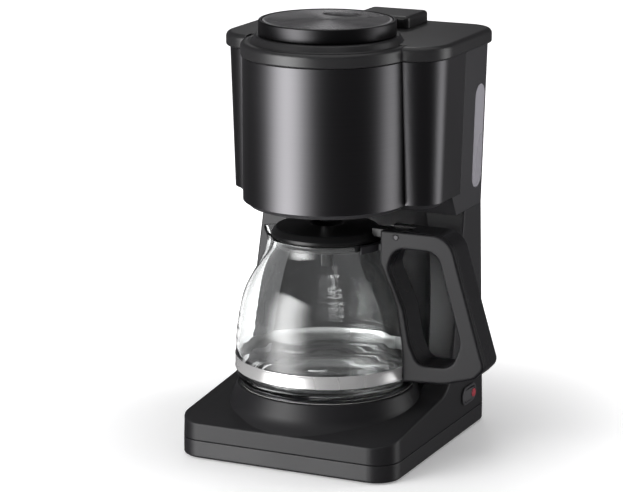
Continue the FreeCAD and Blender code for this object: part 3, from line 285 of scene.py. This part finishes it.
def smooth_path(corners, steps):
    """Catmull-Rom curve through (r, z) points."""
    spots = [Vector(c) for c in corners]
    ends = [spots[0] * 2 - spots[1], *spots, spots[-1] * 2 - spots[-2]]
    path = []
    for a, b, c, d in zip(ends, ends[1:], ends[2:], ends[3:]):
        for step in range(steps):
            t = step / steps
            path.append(0.5 * ((2 * b) + (c - a) * t + (2 * a - 5 * b + 4 * c - d) * t * t
                               + (3 * b - a - 3 * c + d) * t ** 3))
    path.append(spots[-1])
    return path


def lathe(profile, count, shift=None, closed=False):
    """Points and faces of a profile (r, z) turned about the brew axis; shift moves each point."""
    points, faces = [], []
    for r, z in profile:
        for step in range(count):
            angle = 2 * math.pi * step / count
            x, y, up = r * math.cos(angle), r * math.sin(angle), z
            if shift:
                x, y, up = shift(angle, r, z)
            points.append((x, BREW + y, up))
    rows = len(profile)
    last = rows if closed else rows - 1
    for row in range(last):
        for step in range(count):
            a = row * count + step
            b = row * count + (step + 1) % count
            c = ((row + 1) % rows) * count + (step + 1) % count
            d = ((row + 1) % rows) * count + step
            faces.append((a, b, c, d))
    return points, faces


# ------------------------------------------------------------------ carafe glass

GLASS_OUTER = [(53.0, 48.3), (59.0, 48.35), (62.4, 50.4), (64.1, 54.2), (64.55, 60), (64.6, 70),
               (64.5, 78), (63.7, 87), (62.0, 98), (59.3, 110), (55.4, 119.5), (50.0, 128.6),
               (45.0, 136.3), (41.4, 141.8), (39.8, 145.6), (39.55, 149.0), (40.0, 151.6)]
GLASS_FOOT = [(0.2, 50.0), (30, 50.0), (50.5, 49.9), (52.2, 48.7)]
GLASS_FLOOR = [(0.2, 52.6), (30, 52.4), (52, 52.0), (58.8, 53.2), (61.4, 56.4)]
GLASS_LIP = [(40.15, 152.4), (39.9, 152.85), (39.2, 153.0), (38.5, 152.85), (38.1, 152.3)]
GLASS_WALL = 2.1
SPOUT_START = 114.0
RIM_HIGH = 153.0
RIPPLE_LOW = 70
RIPPLE_TALL = 34
RIPPLE_PITCH = 8.5
RIPPLE_DEEP = 0.05


def spout_shift(angle, r, z):
    """Draws the rim out into a pointed spout on the left side."""
    rise = min(1.0, max(0.0, (z - SPOUT_START) / (RIM_HIGH - SPOUT_START)))
    away = abs(math.atan2(math.sin(angle - math.pi), math.cos(angle - math.pi)))
    wide = math.radians(15 + 19 * rise)
    share = max(0.0, 1 - away / wide)
    pull = 9.4 * rise ** 1.6 * (share ** 1.35) - 0.7 * rise * math.exp(-((away - wide) / 0.16) ** 2)
    out = r + pull
    lift = 2.3 * rise ** 5 * share ** 1.2
    return out * math.cos(angle), out * math.sin(angle), z + lift


def ripple(z):
    """Faint moulded waves on the inside, strongest half way up their stretch."""
    if not RIPPLE_LOW < z < RIPPLE_LOW + RIPPLE_TALL:
        return 0.0
    wave = RIPPLE_DEEP * math.sin((z - RIPPLE_LOW) * 2 * math.pi / RIPPLE_PITCH)
    fade = math.sin(math.pi * (z - RIPPLE_LOW) / RIPPLE_TALL)
    return wave * fade


def glass_profile():
    """Closed section of the glass: under the foot, up the outside, over the lip, down the inside."""
    outer = [tuple(p) for p in smooth_path(GLASS_OUTER, 5)]
    inner_wall = [(r - GLASS_WALL, z) for r, z in GLASS_OUTER[5:]]
    inner = [(r + ripple(z), z) for r, z in smooth_path(GLASS_FLOOR + inner_wall, 5)]
    return GLASS_FOOT + outer + GLASS_LIP + inner[::-1]


points, faces = lathe(glass_profile(), 240, spout_shift, closed=True)
mesh_piece("glass_jug", points, faces, "carafe_glass", "carafe", "carafe_glass")

# ------------------------------------------------------------------ steel band round the carafe

BAND_EDGE = 64.8 + 0.35
BAND_PROFILE = [(64.78, 58.3), (64.78, 67.2), (BAND_EDGE, 67.5), (65.35, 67.3), (65.4, 66.9), (65.2, 66.4),
                (65.15, 65.9), (65.15, 59.6), (65.2, 59.1), (65.4, 58.6), (65.35, 58.2), (BAND_EDGE, 58.0)]
points, faces = lathe(BAND_PROFILE, 200, closed=True)
mesh_piece("carafe_band", points, faces, "stainless_steel", "carafe", "steel_band")

# ------------------------------------------------------------------ grooved cap plate

PLATE_RADIUS = 45.4
PLATE_TOP = 305.7
PLATE_UNDER = 304.5
PLATE_STEP = 0.1875        # eight rings of points to a groove
PITCH = 1.5
GROOVE = 0.22
GRIP_ALONG = 24            # middle of the grip hollow, behind the plate's middle
GRIP_RADIUS = 7.9
GRIP_STRAIGHT = 5.1
GRIP_DEEP = 0.8


def plate_height(x, y, r):
    """Height of the disc's face: concentric grooves, and a rounded grip hollow behind the middle."""
    height = PLATE_TOP
    if 3.0 < r < PLATE_RADIUS - 2.0:
        height -= GROOVE * (0.5 - 0.5 * math.cos(2 * math.pi * (r - 3.0) / PITCH))
    across = max(0.0, abs(x) - GRIP_STRAIGHT)
    gap = math.hypot(across, y - GRIP_ALONG) - GRIP_RADIUS
    inside = min(1.0, max(0.0, 0.5 - gap / 0.9))
    inside = inside * inside * (3 - 2 * inside)
    return height * (1 - inside) + (PLATE_TOP - GRIP_DEEP) * inside


def plate_shift(angle, r, z):
    x, y = r * math.cos(angle), r * math.sin(angle)
    if z < PLATE_TOP - 0.5:
        return x, y, z
    return x, y, min(z, plate_height(x, y, r))


radii = [0.3 + PLATE_STEP * k for k in range(int((PLATE_RADIUS - 0.5) / PLATE_STEP))]
plate_edge = [(0.3, PLATE_UNDER), (PLATE_RADIUS, PLATE_UNDER), (PLATE_RADIUS, 305.3),
              (PLATE_RADIUS - 0.1, 305.55), (PLATE_RADIUS - 0.35, PLATE_TOP)]
plate_face = [(r, PLATE_TOP) for r in radii[::-1]]
points, faces = lathe(plate_edge + plate_face, 200, plate_shift, closed=True)
mesh_piece("grooved_disc", points, faces, "cap_metal", "lid", "cap_plate")

# ------------------------------------------------------------------ cap with rolled edges

CAP_PROFILE = [(0.3, 295.5), (46.8, 295.5), (47.6, 295.8), (48.0, 296.4), (48.0, 304.9), (47.85, 305.5),
               (47.5, 305.85), (47.0, 306.0), (46.3, 306.0), (45.9, 305.9), (45.65, 305.6), (45.6, 304.4),
               (0.3, 304.4)]
points, faces = lathe(CAP_PROFILE, 200, closed=True)
cap = mesh_piece("cap_ring", points, faces, "cap_plastic", "lid", "lid_cap")
cap.data.set_sharp_from_angle(angle=math.radians(40))

# ------------------------------------------------------------------ spring of the drip stop

SPRING_RADIUS = 4.6
SPRING_WIRE = 0.4
SPRING_LOW = 166.1
SPRING_TALL = 11.2
SPRING_PITCH = 2.3


def coil_spring():
    """Round wire along a helix; its foot follows the valve and its top stays under the basket."""
    steps, ring = 32, 8
    count = int(steps * SPRING_TALL / SPRING_PITCH)
    points, faces = [], []
    for step in range(count + 1):
        angle = 2 * math.pi * step / steps
        rise = SPRING_LOW + SPRING_TALL * step / count
        for part in range(ring):
            turn = 2 * math.pi * part / ring
            r = SPRING_RADIUS + SPRING_WIRE * math.cos(turn)
            z = rise + SPRING_WIRE * math.sin(turn)
            points.append((r * math.cos(angle), BREW + r * math.sin(angle), z))
    for step in range(count):
        for part in range(ring):
            a = step * ring + part
            b = step * ring + (part + 1) % ring
            faces.append((a, a + ring, b + ring, b))
    faces.append(list(range(ring)))
    faces.append([count * ring + part for part in range(ring)][::-1])
    return points, faces


points, faces = coil_spring()
spring = mesh_piece("valve_coil", points, faces, "stainless_steel", "drip_stop", "valve_spring")
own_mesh(spring)


# ------------------------------------------------------------------ stage, lights, camera

def stage_floor():
    """Pale floor with painted light: it glows, dim close to the object as a painted shadow round it and
    brighter away from it, until it meets the background.
    """
    size = 6.0
    corners = [(-size, -size, 0), (size, -size, 0), (size, size, 0), (-size, size, 0)]
    mesh = bpy.data.meshes.new("floor")
    mesh.from_pydata(corners, [], [(0, 1, 2, 3)])
    floor = bpy.data.objects.new("floor", mesh)
    scene.collection.objects.link(floor)
    material = bpy.data.materials.new("pale_floor")
    material.use_nodes = True
    tree = material.node_tree
    bsdf = tree.nodes["Principled BSDF"]
    bsdf.inputs["Base Color"].default_value = (0.93, 0.93, 0.93, 1)
    bsdf.inputs["Roughness"].default_value = 0.9
    bsdf.inputs["Specular IOR Level"].default_value = 0.1
    bsdf.inputs["Emission Color"].default_value = (1, 1, 1, 1)
    coordinates = tree.nodes.new("ShaderNodeTexCoord")
    length = tree.nodes.new("ShaderNodeVectorMath")
    length.operation = "LENGTH"
    # Painted light: emission strength low near the object (painted shadow) and full further out (painted
    # glow).
    spread = tree.nodes.new("ShaderNodeMapRange")
    spread.interpolation_type = "SMOOTHSTEP"
    for socket, value in (("From Min", 0.08), ("From Max", 0.40), ("To Min", 0.2), ("To Max", 1.0)):
        spread.inputs[socket].default_value = value
    tree.links.new(coordinates.outputs["Object"], length.inputs[0])
    tree.links.new(length.outputs["Value"], spread.inputs["Value"])
    tree.links.new(spread.outputs["Result"], bsdf.inputs["Emission Strength"])
    mesh.materials.append(material)
    floor.visible_glossy = False


def softbox(name, azimuth, elevation, distance, wide, tall, power, aim=(0.0, 0.0, 0.15), soft=0.0):
    """Rectangular studio light; azimuth 0 stands in front of the object and 90 on its right."""
    light = bpy.data.lights.new(name, "AREA")
    light.shape = "RECTANGLE"
    light.size = wide
    light.size_y = tall
    light.energy = power
    thing = bpy.data.objects.new(name, light)
    a, e = math.radians(azimuth), math.radians(elevation)
    away = Vector((math.sin(a) * math.cos(e), -math.cos(a) * math.cos(e), math.sin(e)))
    thing.location = Vector(aim) + away * distance
    thing.rotation_mode = "QUATERNION"
    thing.rotation_quaternion = away.to_track_quat("Z", "Y")
    scene.collection.objects.link(thing)
    if soft:
        soften_light(light, soft)
    return thing


def soften_light(light, power):
    """Fades a light from the middle of its width to its two upright edges."""
    light.use_nodes = True
    tree = light.node_tree
    emission = tree.nodes["Emission"]
    geometry = tree.nodes.new("ShaderNodeNewGeometry")
    split = tree.nodes.new("ShaderNodeSeparateXYZ")
    tree.links.new(geometry.outputs["Parametric"], split.inputs["Vector"])
    last = split.outputs["X"]
    steps = (("MULTIPLY", math.pi), ("SINE", 0.0), ("POWER", power), ("MULTIPLY", 1.0 + power * 0.5))
    for operation, value in steps:
        step = tree.nodes.new("ShaderNodeMath")
        step.operation = operation
        step.inputs[1].default_value = value
        tree.links.new(last, step.inputs[0])
        last = step.outputs["Value"]
    tree.links.new(last, emission.inputs["Strength"])


stage_floor()
softbox("top_light", 0, 89.9, 2.1, 2.6, 2.6, 18.0)
softbox("key_light", -30, 2, 1.45, 2.3, 1.6, 44.0, soft=3.0)
softbox("side_light", 119, 5, 1.6, 1.4, 1.7, 13.0, soft=1.6)
softbox("back_light", 205, 42, 1.7, 0.22, 0.9, 1.6)

# The camera and the glass see a white background, and reflections see a dim studio.
world = bpy.data.worlds.new("studio")
scene.world = world
world.use_nodes = True
tree = world.node_tree
background = tree.nodes["Background"]
path = tree.nodes.new("ShaderNodeLightPath")
seen = tree.nodes.new("ShaderNodeMath")
seen.operation = "MAXIMUM"
tree.links.new(path.outputs["Is Camera Ray"], seen.inputs[0])
tree.links.new(path.outputs["Is Transmission Ray"], seen.inputs[1])
tone = tree.nodes.new("ShaderNodeMix")
tone.data_type = "RGBA"
tone.inputs["A"].default_value = (0.08, 0.078, 0.083, 1)
tone.inputs["B"].default_value = (1, 1, 1, 1)
tree.links.new(seen.outputs["Value"], tone.inputs["Factor"])
tree.links.new(tone.outputs["Result"], background.inputs["Color"])

CAMERA_PLACE = (0.7666, -1.6844, 0.5963)
CAMERA_TARGET = Vector((-0.0161, -0.0075, 0.1408))
camera_data = bpy.data.cameras.new("camera")
camera_data.lens = 154.97
camera_data.sensor_width = 36.0
camera_data.clip_start = 0.05
camera_data.clip_end = 50.0
camera = bpy.data.objects.new("camera", camera_data)
scene.collection.objects.link(camera)
camera.location = CAMERA_PLACE
camera.rotation_mode = "QUATERNION"
camera.rotation_quaternion = (camera.location - CAMERA_TARGET).to_track_quat("Z", "Y")
scene.camera = camera
scene.view_settings.view_transform = "Standard"

# ------------------------------------------------------------------ the end

bpy.context.view_layer.update()
